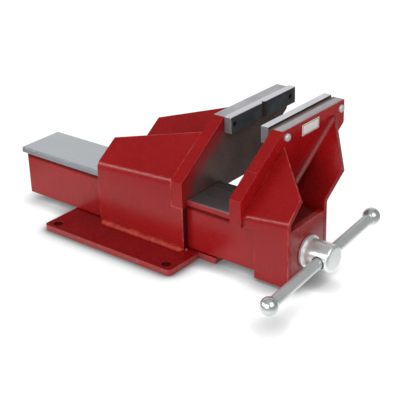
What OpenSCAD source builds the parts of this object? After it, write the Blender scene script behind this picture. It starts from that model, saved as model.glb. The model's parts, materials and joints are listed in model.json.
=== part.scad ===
/* [Jaws] */
// Jaw width, the size printed beside the object
jaw_width = 100; // [80:1:140]
// Opening between the jaw inserts at rest
jaw_opening = 33; // [4:1:60]
// Height of the jaw plate tops above the bench
jaw_top = 116.5; // [110:0.5:135]
// Offset from the spindle line to the near end of the jaws
jaw_offset = 31; // [27:1:45]
// Thickness of both jaw plates
jaw_plate_t = 12; // [9:0.5:16]
// Height of the corner where the near edge starts to lean
jaw_corner_z = 73; // [70:0.5:80]
// Length of the upright far edge below the jaw top
jaw_far_drop = 22.5; // [19:0.5:30]
// Depth of the jaw plate legs beside the slide
jaw_leg = 6.5; // [4:0.5:10]
// Height of the jaw inserts
insert_h = 16; // [13:0.5:19]
// Length of the inserts past the far end of the jaw plates
insert_past = 2.5; // [0:0.25:4]
// Thickness of the jaw inserts
insert_t = 8; // [6:0.5:12]
// Step of the insert above the jaw plate
insert_proud = 0.5; // [0:0.1:1.5]
// Thickness of the strip behind the moving insert
backing_t = 4; // [2:0.5:6]
// Height of the strip above the bolt holes
backing_over = 3.6; // [0.5:0.1:4]
// Depth of the upright groove in the face of the fixed insert
groove_depth = 3.25; // [1:0.25:3.5]

/* [Base] */
// Length of the base plate
base_len = 158; // [150:1:180]
// Width of the base plate
base_wid = 136; // [126:1:170]
// Thickness of the base plate
base_t = 6; // [5:0.5:10]
// Corner radius of the base plate
base_corner = 4; // [3:0.5:9]
// Bolt hole diameter
base_hole = 9; // [6:0.5:11]
// Distance from the bolt holes to the end edges
hole_end = 10.5; // [8:0.5:16]
// Distance from the bolt holes to the side edges
hole_side = 8.5; // [7:0.5:14]
// Distance from the fixed jaw plate to the front edge of the base
base_past_jaw = 13; // [6:0.5:20]
// Length of the tongue under the slide
tongue_len = 18.5; // [8:0.5:24]

/* [Body] */
// Thickness of the folded body walls
wall_t = 6; // [4:0.5:8]
// Length of the body walls behind the fixed jaw plate
wall_len = 92; // [75:1:100]
// Straight height of the near wall above the keeper bar, at the rear
fold_over = 1; // [0.5:0.1:3]
// Outer bend radius of the walls
wall_bend = 10; // [8:0.5:14]
// Height of the far fold below the near fold
far_fold_drop = 4; // [0:0.5:6]
// Depth of the near wall top below the jaw top, at the jaw
near_wall_drop = 11.5; // [8:0.5:18]
// Depth of the far wall top below the jaw top, at the jaw
far_wall_drop = 6.5; // [4:0.5:12]
// Depth of the wall tops below the jaw top, at the rear
rear_wall_drop = 31.5; // [26:0.5:36]
// Thickness of the keeper bar over the slide
keeper_t = 5; // [3:0.5:6]
// Width of the keeper bar
keeper_w = 12; // [8:1:20]
// Distance from the rear end of the walls to the keeper bar
keeper_in = 8; // [4:1:20]

/* [Slide] */
// Width of the slide top plate
slide_w = 51; // [48:0.5:56]
// Height of the slide top above the bench
slide_top_z = 55; // [53:0.5:58]
// Thickness of the slide top plate
slide_plate_t = 6; // [4:0.5:8]
// Rounding of the long edges of the slide top plate
slide_round = 1.5; // [0.5:0.25:1.5]
// Thickness of the slide sides
slide_side_t = 5; // [4:0.5:6]
// Step of the slide sides under the edge of the top plate
slide_step = 0.5; // [0.3:0.1:1.5]
// Length of the slide behind the fixed jaw plate
slide_tail = 215.5; // [200:0.5:230]
// Overhang of the top plate past the tail of the sides
tail_overhang = 6.5; // [2:0.5:10]
// Thickness of the tie across the tail
tie_t = 8; // [5:0.5:12]
// Inset of the tie from the tail of the sides
tie_in = 4; // [1:0.5:10]

/* [Front box] */
// Length of the front box ahead of the moving jaw plate
box_len = 47.5; // [42:0.5:60]
// Distance from the jaw plate to the lower part of the cheeks
box_gap = 11.5; // [6:0.5:16]
// Height of the box underside above the bench
box_bottom = 2.5; // [1:0.25:5]
// Thickness of the cheek plates
cheek_t = 4.5; // [3:0.25:6]
// Outer bend radius of the cheeks
cheek_bend = 8; // [7:0.5:11]
// Distance from the near end of the jaws in to the top of the near cheek
near_cheek_in = 1.5; // [0:0.1:6]
// Distance from the far end of the jaws to the top of the far cheek
far_cheek_in = 17.4; // [14:0.2:24]
// Height of the near fold at the front
near_fold_z = 64.6; // [62:0.2:68]
// Height of the far fold at the front
far_fold_z = 66.7; // [64.5:0.2:69]
// Rise of the near fold line towards the front
near_rise = 7; // [4:0.5:9]
// Rise of the far fold line towards the front
far_rise = 25.6; // [22:0.2:27]
// Height of the front corner of the near cheek
near_apex_z = 79.5; // [76:0.5:86]
// Step of the front corner of the near cheek behind the front
near_apex_in = 2.3; // [0:0.1:5]
// Height of the front corner of the far cheek
far_apex_z = 85.5; // [76:0.5:90]
// Gap between the near bolt head and the top of the near cheek
near_cheek_gap = 3; // [0.5:0.25:6]
// Gap between the far bolt head and the top of the far cheek
far_cheek_gap = 0.5; // [0.5:0.25:4]
// Thickness of the front plate
front_t = 6; // [5:0.5:8]
// Height of the front plate at its near edge
front_near_z = 55.5; // [50:0.5:58]
// Height of the front plate at its far edge
front_far_z = 56.5; // [52:0.5:62]

/* [Spindle] */
// Height of the spindle line above the bench
axis_z = 28; // [26:0.25:30]
// Diameter of the spindle screw
screw_d = 20; // [14:0.5:22]
// Diameter of the spindle head
head_d = 25; // [24:0.5:29]
// Length of the spindle head and flange
head_len = 27.5; // [27:0.5:40]
// Rounding of the head edge
head_round = 3; // [1:0.25:3]
// Flare of the cross hole at the surface of the head
hole_flare = 1; // [0.25:0.25:1.25]
// Diameter of the thrust flange
flange_d = 30; // [30:0.5:36]
// Thickness of the thrust flange
flange_t = 3; // [2:0.25:5]
// Distance from the front plate to the handle line
handle_out = 18.2; // [16:0.1:19.5]
// Outer diameter of the front bush
bush_d = 27; // [25:0.5:28]
// Outer diameter of the retaining collar
collar_d = 32; // [28:0.5:34]
// Length of the retaining collar
collar_len = 11; // [8:0.5:14]
// Diameter of the collar pin
pin_d = 5; // [3:0.25:6]
// Travel of the moving jaw from rest to fully open
open_travel = 80; // [60:1:85]
// Distance kept between the end washer and the nut when fully open
screw_spare = 8; // [6:0.5:12]
// Diameter of the end washer
end_d = 28; // [24:0.5:32]
// Thickness of the end washer
end_t = 4; // [2:0.5:6]

/* [Nut] */
// Distance from the fixed jaw plate back to the middle of the nut
nut_back = 36; // [34:1:42]
// Length of the nut block
nut_len = 40; // [30:1:44]
// Width of the nut block
nut_w = 34; // [32:0.5:36]
// Height of the nut block above the spindle line
nut_above = 15; // [14:0.5:17]
// Length of each nut foot
foot_len = 14; // [13:0.5:16]
// Diameter of the nut screws and of the end screw
foot_screw_d = 6; // [5:0.5:7]
// Diameter of their heads
foot_head_d = 10; // [9:0.5:11]
// Height of their heads
foot_head_h = 2; // [1.5:0.25:3]
// Gap between those heads and the screw
foot_gap = 1; // [0.5:0.1:2]
// Distance from the base underside up to the tips of the nut screws
screw_tip_in = 1; // [0.5:0.1:3]

/* [Handle] */
// Distance between the ball centres
handle_len = 158; // [130:1:180]
// Shift of the bar towards its near end
handle_shift = 4; // [0:0.5:10]
// Tilt of the bar, far end up
handle_tilt = 6; // [0:0.5:8]
// Diameter of the handle bar
bar_d = 10; // [8:0.25:11]
// Diameter of the handle balls
ball_d = 16; // [14:0.5:20]

/* [Fasteners] */
// Jaw bolt diameter
bolt_d = 5; // [4:0.5:6]
// Diameter of the jaw bolt heads
bolt_head_d = 7.6; // [7:0.2:10]
// Height of the jaw bolt heads
bolt_head_h = 3; // [1.5:0.25:4]
// Distance from the jaw ends to the bolts
bolt_end = 6; // [5:0.25:10]
// Depth of the bolts below the jaw top
bolt_drop = 7.2; // [5:0.1:8]
// Depth of the bolt tip below the insert face
bolt_recess = 4; // [1:0.25:5]
// Width of the plain label
label_w = 27; // [20:0.5:34]
// Height of the plain label
label_h = 10.5; // [8:0.5:11]
// Thickness of the plain label
label_t = 0.5; // [0.3:0.1:1]
// Depth of the label below the jaw top
label_drop = 3.5; // [2:0.25:4]
// Distance from the near end of the jaws to the label
label_in = 29.5; // [20:0.5:40]

/* [Clearances] */
// Sliding clearance between the slide and the body
slide_clear = 0.5; // [0.3:0.05:0.8]
// Clearance between the slide and the base
base_clear = 1; // [0.5:0.1:1.5]
// Running clearance of turning and threaded parts
run_clear = 0.05; // [0.03:0.01:0.08]
// Clearance of fixed pins and bores
fit_clear = 0.02; // [0.01:0.01:0.04]
// Clearance around bolts in plates
bolt_clear = 0.3; // [0.2:0.05:0.5]
// Axial play of the spindle in the front plate
end_play = 0.25; // [0.15:0.05:0.4]

/* [Hidden] */
$fn = 96;
big = 400;
half_in = slide_w / 2 + slide_clear;
near_y = -(half_in + wall_t);
side_y = slide_w / 2 - slide_step;
jaw_x = base_len / 2 - base_past_jaw;
jaw_back_x = jaw_x - jaw_plate_t;
wall_rear_x = jaw_back_x - wall_len;
jaw_bottom = slide_top_z - jaw_leg;
jaw_far_y = jaw_offset + jaw_width;
jaw_slope = (jaw_top - jaw_corner_z) / (jaw_offset - near_y);
wall_lean = atan(jaw_slope);
rear_fold_z = slide_top_z + slide_clear + keeper_t + wall_bend * tan(45 - wall_lean / 2) + fold_over;
wall_rise = atan((jaw_corner_z - rear_fold_z) / wall_len);
jaw_low_y = jaw_far_y - (jaw_top - jaw_far_drop - jaw_bottom) / jaw_slope;
insert_z = jaw_top + insert_proud - insert_h;
insert_len = jaw_width + insert_past;
bolt_z = jaw_top - bolt_drop;
head_low_z = bolt_z - bolt_head_d / 2;
backing_top = bolt_z + bolt_d / 2 + bolt_clear + backing_over;
move_face = jaw_x + insert_t + jaw_opening;
move_back = move_face + insert_t + backing_t;
move_front = move_back + jaw_plate_t;
front_x = move_front + box_len;
near_cheek_top = head_low_z - near_cheek_gap;
far_cheek_top = head_low_z - far_cheek_gap;
near_cheek_run = jaw_offset + near_cheek_in + side_y + cheek_t;
far_cheek_run = jaw_far_y - far_cheek_in - side_y;
near_lean = atan((near_cheek_top - near_fold_z + box_len * tan(near_rise)) / near_cheek_run);
far_lean = atan((far_cheek_top - far_fold_z + box_len * tan(far_rise)) / far_cheek_run);
side_low = base_t + base_clear;
side_top = slide_top_z - slide_plate_t;
side_tail_x = jaw_x - slide_tail + tail_overhang;
nut_x = jaw_x - nut_back;
screw_end_x = nut_x - nut_len / 2 - foot_len - open_travel - screw_spare;
flange_x = front_x + end_play;
head_x = flange_x + flange_t;
handle_x = front_x + handle_out;
side_in = side_y - slide_side_t;
foot_screw_x = nut_len / 2 + foot_len / 2;
foot_t = axis_z - screw_d / 2 - foot_gap - foot_head_h - base_t;

// A cylinder lying along X, from x0 towards the front
module rod_x(x0, y, z, d, len) {
    translate([x0, y, z])
        rotate([0, 90, 0])
            cylinder(d = d, h = len);
}

// A ring lying along X
module ring_x(x0, y, z, d, bore, len) {
    difference() {
        rod_x(x0, y, z, d, len);
        rod_x(x0 - 1, y, z, bore, len + 2);
    }
}

// A side outline drawn in X and Z, carried across the whole width
module side_cut(outline) {
    rotate([90, 0, 0])
        linear_extrude(height = big, center = true)
            polygon(outline);
}

// All that lies inside a rounded fold about the Z line, out to one side
module fold_core(r, side, fold, over) {
    translate([0, 0, -over]) {
        translate([-r, -big, 0])
            cube([r + side, big, big + 2 * over]);
        cylinder(r = r, h = big + 2 * over);
        rotate([0, 0, -fold])
            translate([-r, 0, 0])
                cube([r + side, big, big + 2 * over]);
    }
}

// Angle of a fold, measured square to a fold line that rises towards the front
function fold_angle(lean, rise) = 90 - atan(tan(lean) * cos(rise));

// Where a point given in X and Z lies on the leaning part: along the fold line, and up the lean
function on_lean(p, x, z, lean, rise) = [
    (p[0] - x) * cos(rise) + (p[1] - z) * sin(rise),
    ((p[1] - z) * cos(rise) - (p[0] - x) * sin(rise)) / cos(fold_angle(lean, rise))
];

// A sheet standing on its edge that folds over towards the far side.
// The fold line passes through x, z and rises towards the front. The top edge runs between
// two points given in X and Z, and is cut square to the sheet.
module bent_sheet(x, y, z, t, bend, lean, rise, top_rear, top_front) {
    fold = fold_angle(lean, rise);
    rear = on_lean(top_rear, x, z, lean, rise);
    edge = on_lean(top_front, x, z, lean, rise) - rear;
    translate([x, y, z])
        rotate([0, -rise, 0])
            difference() {
                translate([-big / 2, bend, -bend * tan(fold / 2)])
                    rotate([90, 0, 90])
                        difference() {
                            fold_core(bend, 0, fold, 0);
                            fold_core(bend - t, 2 * bend, fold, 1);
                        }
                rotate([-fold, 0, 0])
                    translate([rear[0], 0, rear[1]])
                        rotate([0, -atan2(edge[1], edge[0]), 0])
                            translate([-big, -big / 2, 0])
                                cube([2 * big, big, big]);
            }
}

// The slanted outline shared by both jaw plates, drawn in Y and Z
module jaw_slab(x0) {
    translate([x0, 0, 0])
        rotate([90, 0, 90])
            linear_extrude(height = jaw_plate_t)
                polygon([
                    [near_y, jaw_bottom],
                    [jaw_low_y, jaw_bottom],
                    [jaw_far_y, jaw_top - jaw_far_drop],
                    [jaw_far_y, jaw_top],
                    [jaw_offset, jaw_top],
                    [near_y, jaw_corner_z]
                ]);
}

// Both jaw bolt positions
module at_bolts() {
    for (y = [jaw_offset + bolt_end, jaw_far_y - bolt_end])
        translate([0, y, bolt_z])
            children();
}

// A hardened insert with its bolt bores
module insert_bar(x0) {
    difference() {
        translate([x0, jaw_offset, insert_z])
            cube([insert_t, insert_len, insert_h]);
        at_bolts()
            rod_x(x0 - 1, 0, 0, bolt_d + 2 * fit_clear, insert_t + 2);
    }
}

module base_plate() {
    straight_len = base_len - 2 * base_corner;
    straight_wid = base_wid - 2 * base_corner;
    color("firebrick")
        difference() {
            union() {
                translate([-straight_len / 2, -base_wid / 2, 0])
                    cube([straight_len, base_wid, base_t]);
                translate([-base_len / 2, -straight_wid / 2, 0])
                    cube([base_len, straight_wid, base_t]);
                for (x = [-straight_len / 2, straight_len / 2], y = [-straight_wid / 2, straight_wid / 2])
                    translate([x, y, 0])
                        cylinder(r = base_corner, h = base_t);
                translate([0, -half_in, 0])
                    cube([base_len / 2 + tongue_len, 2 * half_in, base_t]);
            }
            for (sx = [-1, 1], sy = [-1, 1])
                translate([sx * (base_len / 2 - hole_end), sy * (base_wid / 2 - hole_side), -1])
                    cylinder(d = base_hole, h = base_t + 2);
            for (sx = [-1, 1])
                translate([nut_x + sx * foot_screw_x, 0, -1])
                    cylinder(d = foot_screw_d + 2 * fit_clear, h = base_t + 2);
        }
}

// Side view of both walls, with a step under the fixed jaw plate
module wall_side() {
    side_cut([
        [wall_rear_x, base_t],
        [jaw_x, base_t],
        [jaw_x, jaw_bottom],
        [jaw_back_x, jaw_bottom],
        [jaw_back_x, jaw_top],
        [wall_rear_x, jaw_top]
    ]);
}

module near_wall() {
    color("firebrick")
        intersection() {
            bent_sheet(jaw_back_x, near_y, jaw_corner_z, wall_t, wall_bend, wall_lean, wall_rise,
                [wall_rear_x, jaw_top - rear_wall_drop], [jaw_back_x, jaw_top - near_wall_drop]);
            wall_side();
        }
}

module far_wall() {
    fold_z = jaw_corner_z - far_fold_drop;
    color("firebrick")
        intersection() {
            bent_sheet(jaw_back_x, half_in, fold_z, wall_t, wall_bend, wall_lean, wall_rise,
                [wall_rear_x, jaw_top - rear_wall_drop], [jaw_back_x, jaw_top - far_wall_drop]);
            wall_side();
        }
}

module fixed_jaw_plate() {
    color("dimgray")
        difference() {
            jaw_slab(jaw_back_x);
            translate([jaw_back_x - 1, -half_in, 0])
                cube([jaw_plate_t + 2, 2 * half_in, slide_top_z + slide_clear]);
            at_bolts()
                rod_x(jaw_back_x - 1, 0, 0, bolt_d + 2 * bolt_clear, jaw_plate_t + 2);
        }
}

module fixed_jaw_insert() {
    groove_side = groove_depth * sqrt(2);
    color("slategray")
        difference() {
            insert_bar(jaw_x);
            translate([jaw_x + insert_t, jaw_offset + insert_len / 2, insert_z - 1])
                rotate([0, 0, 45])
                    translate([-groove_side / 2, -groove_side / 2, 0])
                        cube([groove_side, groove_side, insert_h + 2]);
        }
}

module fixed_jaw_bolts() {
    color("silver")
        at_bolts() {
            rod_x(jaw_back_x - bolt_head_h, 0, 0, bolt_head_d, bolt_head_h);
            rod_x(jaw_back_x, 0, 0, bolt_d, jaw_plate_t + insert_t - bolt_recess);
        }
}

module rear_keeper() {
    color("firebrick")
        translate([wall_rear_x + keeper_in, -half_in, slide_top_z + slide_clear])
            cube([keeper_w, 2 * half_in, keeper_t]);
}

module nut_block() {
    color("goldenrod")
        difference() {
            union() {
                translate([nut_x - nut_len / 2, -nut_w / 2, base_t])
                    cube([nut_len, nut_w, axis_z + nut_above - base_t]);
                translate([nut_x - nut_len / 2 - foot_len, -nut_w / 2, base_t])
                    cube([nut_len + 2 * foot_len, nut_w, foot_t]);
            }
            rod_x(nut_x - nut_len, 0, axis_z, screw_d + 2 * run_clear, 2 * nut_len);
            for (sx = [-1, 1])
                translate([nut_x + sx * foot_screw_x, 0, base_t - 1])
                    cylinder(d = foot_screw_d + 2 * bolt_clear, h = foot_t + 2);
        }
}

module nut_screws() {
    color("silver")
        for (sx = [-1, 1])
            translate([nut_x + sx * foot_screw_x, 0, 0]) {
                translate([0, 0, screw_tip_in])
                    cylinder(d = foot_screw_d, h = base_t + foot_t - screw_tip_in);
                translate([0, 0, base_t + foot_t])
                    cylinder(d = foot_head_d, h = foot_head_h);
            }
}

// A stretch of the slide top plate, with rounded long edges
module round_bar(x0, x1, w) {
    r = slide_round;
    translate([x0, 0, side_top]) {
        translate([0, -w / 2, r])
            cube([x1 - x0, w, slide_plate_t - 2 * r]);
        translate([0, r - w / 2, 0])
            cube([x1 - x0, w - 2 * r, slide_plate_t]);
        for (y = [r - w / 2, w / 2 - r], z = [r, slide_plate_t - r])
            rod_x(0, y, z, 2 * r, x1 - x0);
    }
}

module slide_top() {
    color("lightgray")
        union() {
            round_bar(jaw_x - slide_tail, move_front, slide_w);
            round_bar(move_front, front_x - front_t, 2 * side_y);
        }
}

module slide_side(y0) {
    translate([side_tail_x, y0, side_low])
        cube([front_x - front_t - side_tail_x, slide_side_t, side_top - side_low]);
}

module slide_side_near() {
    color("firebrick")
        slide_side(-side_y);
}

module slide_side_far() {
    color("firebrick")
        slide_side(side_in);
}

module slide_tie() {
    color("firebrick")
        translate([side_tail_x + tie_in, -side_in, side_low])
            cube([tie_t, 2 * side_in, side_top - side_low]);
}

module moving_jaw_plate() {
    color("firebrick")
        difference() {
            jaw_slab(move_back);
            translate([move_back - 1, -slide_w / 2, 0])
                cube([jaw_plate_t + 2, slide_w, slide_top_z]);
            at_bolts()
                rod_x(move_back - 1, 0, 0, bolt_d + 2 * bolt_clear, jaw_plate_t + 2);
        }
}

module moving_jaw_insert() {
    color("slategray")
        insert_bar(move_face);
}

module insert_backing() {
    color("firebrick")
        difference() {
            translate([move_face + insert_t, jaw_offset, insert_z])
                cube([backing_t, jaw_width, backing_top - insert_z]);
            at_bolts()
                rod_x(move_face, 0, 0, bolt_d + 2 * bolt_clear, insert_t + 2 * backing_t);
        }
}

module moving_jaw_bolts() {
    tip_x = move_face + bolt_recess;
    color("silver")
        at_bolts() {
            rod_x(move_front, 0, 0, bolt_head_d, bolt_head_h);
            rod_x(tip_x, 0, 0, bolt_d, move_front - tip_x);
        }
}

// Side view of a cheek: a step behind the box, and a front edge that runs from the fold to the apex
module cheek_side(fold_z, apex) {
    side_cut([
        [move_front, jaw_bottom],
        [move_front + box_gap, jaw_bottom],
        [move_front + box_gap, box_bottom],
        [front_x, box_bottom],
        [front_x, fold_z],
        apex,
        [apex[0], jaw_top],
        [move_front, jaw_top]
    ]);
}

module near_cheek() {
    color("firebrick")
        intersection() {
            bent_sheet(front_x, -side_y - cheek_t, near_fold_z, cheek_t, cheek_bend, near_lean, near_rise,
                [move_front, near_cheek_top], [front_x - near_apex_in, near_apex_z]);
            cheek_side(near_fold_z, [front_x - near_apex_in, near_apex_z]);
        }
}

module far_cheek() {
    color("firebrick")
        intersection() {
            bent_sheet(front_x, side_y, far_fold_z, cheek_t, cheek_bend, far_lean, far_rise,
                [move_front, far_cheek_top], [front_x, far_apex_z]);
            cheek_side(far_fold_z, [front_x, far_apex_z]);
        }
}

module front_plate() {
    color("firebrick")
        difference() {
            translate([front_x - front_t, 0, 0])
                rotate([90, 0, 90])
                    linear_extrude(height = front_t)
                        polygon([
                            [-side_y, box_bottom],
                            [side_y, box_bottom],
                            [side_y, front_far_z],
                            [-side_y, front_near_z]
                        ]);
            rod_x(front_x - front_t - 1, 0, axis_z, bush_d + 2 * fit_clear, front_t + 2);
        }
}

module spindle_bush() {
    color("peru")
        ring_x(front_x - front_t, 0, axis_z, bush_d, screw_d + 2 * run_clear, front_t);
}

module label_plate() {
    color("whitesmoke")
        translate([move_front, jaw_offset + label_in, jaw_top - label_drop - label_h])
            cube([label_t, label_w, label_h]);
}

module spindle_screw() {
    color("gainsboro")
        difference() {
            rod_x(screw_end_x, 0, axis_z, screw_d, head_x - screw_end_x);
            translate([front_x - front_t - end_play - collar_len / 2, 0, axis_z - screw_d])
                cylinder(d = pin_d + 2 * fit_clear, h = 2 * screw_d);
            rod_x(screw_end_x - 1, 0, axis_z, foot_screw_d + 2 * fit_clear, 2 * foot_screw_d + 1);
        }
}

module spindle_head() {
    straight = front_x + head_len - head_x - head_round;
    bore = bar_d + 2 * run_clear;
    color("gainsboro")
        difference() {
            union() {
                rod_x(head_x, 0, axis_z, head_d, straight);
                translate([head_x + straight, 0, axis_z])
                    rotate([0, 90, 0])
                        rotate_extrude()
                            intersection() {
                                union() {
                                    square([head_d / 2 - head_round, head_round]);
                                    translate([head_d / 2 - head_round, 0])
                                        circle(r = head_round);
                                }
                                square([head_d, head_round]);
                            }
            }
            translate([handle_x, 0, axis_z])
                rotate([handle_tilt, 0, 0])
                    for (way = [-90, 90])
                        rotate([way, 0, 0]) {
                            cylinder(d = bore, h = head_d);
                            translate([0, 0, head_d / 2 - 2 * hole_flare])
                                cylinder(d1 = bore, d2 = bore + 4 * hole_flare, h = 4 * hole_flare);
                        }
        }
}

module thrust_flange() {
    color("gainsboro")
        ring_x(flange_x, 0, axis_z, flange_d, screw_d + 2 * fit_clear, flange_t);
}

module retaining_collar() {
    collar_x = front_x - front_t - end_play - collar_len;
    color("gray")
        difference() {
            ring_x(collar_x, 0, axis_z, collar_d, screw_d + 2 * fit_clear, collar_len);
            translate([collar_x + collar_len / 2, 0, axis_z - collar_d])
                cylinder(d = pin_d + 2 * fit_clear, h = 2 * collar_d);
        }
}

module collar_pin() {
    color("gainsboro")
        translate([front_x - front_t - end_play - collar_len / 2, 0, axis_z])
            cylinder(d = pin_d, h = collar_d + 1, center = true);
}

module end_washer() {
    color("gainsboro")
        ring_x(screw_end_x - end_t, 0, axis_z, end_d, foot_screw_d + 2 * bolt_clear, end_t);
}

module end_screw() {
    color("silver") {
        rod_x(screw_end_x - end_t - foot_head_h, 0, axis_z, foot_head_d, foot_head_h);
        rod_x(screw_end_x - end_t, 0, axis_z, foot_screw_d, end_t + foot_screw_d);
    }
}

// Places a part on the handle line, with local Z running to the far end
module on_handle() {
    translate([handle_x, 0, axis_z])
        rotate([handle_tilt - 90, 0, 0])
            translate([0, 0, -handle_shift])
                children();
}

// A ball end bored for the bar, seen with the bar coming from below
module handle_ball() {
    socket = ball_d / 4;
    difference() {
        sphere(d = ball_d);
        translate([0, 0, -ball_d])
            cylinder(d = bar_d + 2 * fit_clear, h = ball_d + socket);
    }
}

module handle_bar() {
    bar_len = handle_len + ball_d / 2;
    color("gainsboro")
        on_handle()
            cylinder(d = bar_d, h = bar_len, center = true);
}

module handle_ball_near() {
    color("gainsboro")
        on_handle()
            translate([0, 0, -handle_len / 2])
                rotate([180, 0, 0])
                    handle_ball();
}

module handle_ball_far() {
    color("gainsboro")
        on_handle()
            translate([0, 0, handle_len / 2])
                handle_ball();
}

base_plate();
near_wall();
far_wall();
fixed_jaw_plate();
fixed_jaw_insert();
fixed_jaw_bolts();
rear_keeper();
nut_block();
nut_screws();
slide_top();
slide_side_near();
slide_side_far();
slide_tie();
moving_jaw_plate();
moving_jaw_insert();
insert_backing();
moving_jaw_bolts();
near_cheek();
far_cheek();
front_plate();
spindle_bush();
label_plate();
spindle_screw();
spindle_head();
thrust_flange();
retaining_collar();
collar_pin();
end_washer();
end_screw();
handle_bar();
handle_ball_near();
handle_ball_far();
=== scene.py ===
import json
import math

import bmesh
import bpy
from bpy.props import FloatProperty, FloatVectorProperty, IntProperty, PointerProperty
from mathutils import Matrix, Vector

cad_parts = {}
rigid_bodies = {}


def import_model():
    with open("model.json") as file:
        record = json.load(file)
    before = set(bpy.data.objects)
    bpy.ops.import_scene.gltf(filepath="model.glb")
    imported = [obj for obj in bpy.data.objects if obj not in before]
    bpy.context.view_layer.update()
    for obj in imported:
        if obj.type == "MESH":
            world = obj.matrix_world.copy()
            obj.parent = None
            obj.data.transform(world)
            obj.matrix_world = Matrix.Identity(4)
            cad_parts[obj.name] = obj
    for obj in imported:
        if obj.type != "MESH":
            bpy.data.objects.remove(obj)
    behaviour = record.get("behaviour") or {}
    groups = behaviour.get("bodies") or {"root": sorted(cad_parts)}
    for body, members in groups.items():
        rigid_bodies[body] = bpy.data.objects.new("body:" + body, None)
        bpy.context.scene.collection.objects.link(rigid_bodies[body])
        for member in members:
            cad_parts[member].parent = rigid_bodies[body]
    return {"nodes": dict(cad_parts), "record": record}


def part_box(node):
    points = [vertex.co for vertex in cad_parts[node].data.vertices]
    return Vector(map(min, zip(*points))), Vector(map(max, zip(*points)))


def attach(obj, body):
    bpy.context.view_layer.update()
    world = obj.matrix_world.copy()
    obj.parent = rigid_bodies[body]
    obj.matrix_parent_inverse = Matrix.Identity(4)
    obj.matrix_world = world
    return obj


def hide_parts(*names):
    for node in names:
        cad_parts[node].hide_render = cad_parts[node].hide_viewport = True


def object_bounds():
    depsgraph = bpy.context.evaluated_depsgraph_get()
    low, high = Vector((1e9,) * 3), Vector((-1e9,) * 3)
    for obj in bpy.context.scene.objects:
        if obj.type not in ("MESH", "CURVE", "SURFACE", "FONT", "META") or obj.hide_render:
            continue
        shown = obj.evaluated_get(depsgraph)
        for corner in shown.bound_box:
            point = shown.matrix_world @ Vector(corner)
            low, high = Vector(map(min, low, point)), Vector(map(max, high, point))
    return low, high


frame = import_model()
CAD_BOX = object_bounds()

bl_info = {
    "name": "Offset Bench Vise Finish",
    "version": (1, 0, 0),
    "blender": (4, 5, 0),
    "location": "View3D > Sidebar > Vise",
    "description": "Gives the packed bench vise its enamel, steel, weld beads, screw thread and studio stage",
    "category": "Object",
}

MM = 0.001

# The camera's sensor, and the width of the photograph in pixels
SENSOR_MM = 36.0
PHOTO_SIZE = 400

# Material places on a dressed node: its faces, its rounded edges, then the special faces
FACE, EDGE, EXTRA, EXTRA_2 = range(4)

# How far a face's normal leans to an axis when the face is tilted that way, or looks along it
TILTED, ALONG = 0.3, 0.9

# Distance within which a node's loose corners are one, and the angles of a flat and of a sharp edge
MERGE = 0.002 * MM
FLAT_ANGLE, SHARP_ANGLE = math.radians(0.3), math.radians(28)

# Span that most of a noise lies in, and the specular level of the enamel
NOISE_LOW, NOISE_HIGH = 0.3, 0.7
GLOSS = 0.25

BODY_OF = {
    node: body
    for body, members in frame["record"]["behaviour"]["bodies"].items()
    for node in members
}
SLOT_OF = {part["node"]: part["material_slot"] for part in frame["record"]["subparts"]}


class EnamelSettings(bpy.types.PropertyGroup):
    """Colours and finish of the red paint."""

    color: FloatVectorProperty(
        name="Enamel", description="Colour of the red enamel", subtype="COLOR",
        size=3, min=0, max=1, default=(0.25, 0.0045, 0.0055))
    roughness: FloatProperty(
        name="Roughness", description="Mean roughness of the enamel",
        subtype="FACTOR", min=0, max=1, default=0.26)
    edge_round: FloatProperty(
        name="Edge rounding", description="Width of the rounded plate edges",
        unit="LENGTH", subtype="DISTANCE", min=0.0001, max=0.003, default=0.9 * MM)
    overspray: FloatProperty(
        name="Overspray", description="Width over which the paint fades out on the fixed jaw face",
        unit="LENGTH", subtype="DISTANCE", min=0.002, max=0.05, default=20 * MM)


class SteelSettings(bpy.types.PropertyGroup):
    """Colours of the bare and plated steels."""

    mill: FloatVectorProperty(
        name="Mill steel", description="Colour of the unpainted rolled plate", subtype="COLOR",
        size=3, min=0, max=1, default=(0.08, 0.047, 0.039))
    ground: FloatVectorProperty(
        name="Ground steel", description="Colour of the ground tops", subtype="COLOR",
        size=3, min=0, max=1, default=(0.49, 0.487, 0.51))
    insert: FloatVectorProperty(
        name="Insert face", description="Colour of the hardened insert faces", subtype="COLOR",
        size=3, min=0, max=1, default=(0.043, 0.051, 0.057))
    slide: FloatVectorProperty(
        name="Slide", description="Colour of the bright slide top", subtype="COLOR",
        size=3, min=0, max=1, default=(0.475, 0.499, 0.524))
    zinc: FloatVectorProperty(
        name="Zinc", description="Colour of the zinc plate", subtype="COLOR",
        size=3, min=0, max=1, default=(0.59, 0.62, 0.615))
    bronze: FloatVectorProperty(
        name="Bronze", description="Colour of the nut and bush", subtype="COLOR",
        size=3, min=0, max=1, default=(0.5, 0.33, 0.14))
    edge_round: FloatProperty(
        name="Edge rounding", description="Width of the rounded edges of the machined pieces",
        unit="LENGTH", subtype="DISTANCE", min=0.0001, max=0.002, default=0.5 * MM)


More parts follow.
